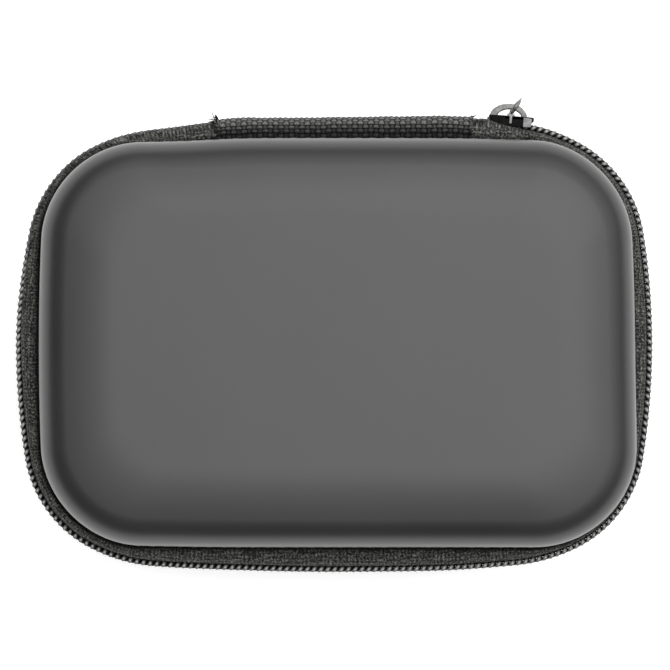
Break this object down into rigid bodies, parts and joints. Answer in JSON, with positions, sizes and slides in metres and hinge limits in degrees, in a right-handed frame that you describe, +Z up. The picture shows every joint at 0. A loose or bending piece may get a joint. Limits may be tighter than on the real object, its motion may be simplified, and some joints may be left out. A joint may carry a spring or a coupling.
{
  "type": "carrying case",
  "caption": "Small zippered hard-shell carrying case with a woven hinge, a coil zip round three sides, an elastic strap and a mesh pocket.",
  "frame": {"origin": "centre of the base's flat bottom face", "axes": "+X along the case's long side, +Y towards the hinge, +Z up from base to lid"},
  "size_m": [0.1396, 0.1034, 0.045],
  "materials": {
    "pu_skin": "fine-grained soft-touch coating, satin",
    "eva_foam": "closed-cell moulded foam, matte",
    "lining_fabric": "fine knitted lining",
    "zip_tape": "woven polyester tape",
    "zip_coil": "nylon filament, slight gloss",
    "binding": "grosgrain tape",
    "thread": "twisted sewing thread",
    "webbing": "coarse basket-woven webbing",
    "elastic": "ribbed knitted elastic",
    "mesh": "open knitted net",
    "slider_metal": "die-cast, grey lacquer, satin",
    "pull_metal": "die-cast, grey lacquer, satin"
  },
  "bodies": {
    "base": {"base_skin": "pu_skin", "base_foam": "eva_foam", "base_lining": "lining_fabric", "base_zip_tape": "zip_tape", "base_zip_coil": "zip_coil", "base_tape_binding": "binding", "base_seam_thread": "thread", "elastic_strap": "elastic", "strap_anchors": "thread", "hinge_webbing": "webbing"},
    "lid": {"lid_skin": "pu_skin", "lid_foam": "eva_foam", "lid_lining": "lining_fabric", "lid_zip_tape": "zip_tape", "lid_zip_tape_end": "zip_tape", "lid_zip_coil": "zip_coil", "lid_zip_coil_end": "zip_coil", "lid_tape_binding": "binding", "lid_seam_thread": "thread", "mesh_pocket": "mesh", "mesh_pocket_binding": "binding"},
    "slider": {"slider_body": "slider_metal", "slider_bridge": "slider_metal", "slider_lock_pin": "slider_metal"},
    "pull": {"pull_tab": "pull_metal"}
  },
  "joints": [
    {"name": "lid_hinge", "type": "hinge", "parent": "base", "child": "lid", "pos_m": [0, 0.05025, 0.0225], "axis": [-1, 0, 0], "range_deg": [0, 178], "deforming": ["hinge_webbing", "lid_zip_tape_end", "lid_zip_coil_end"]},
    {"name": "slider_travel", "type": "hinge", "parent": "base", "child": "slider", "pos_m": [0.03678, 0.01131, 0.0225], "axis": [0, 0, -1], "range_deg": [0, 30]},
    {"name": "pull_swing", "type": "hinge", "parent": "slider", "child": "pull", "pos_m": [0.04047, 0.05128, 0.0225], "axis": [0.8252, -0.5648, 0], "range_deg": [0, 150]}
  ]
}
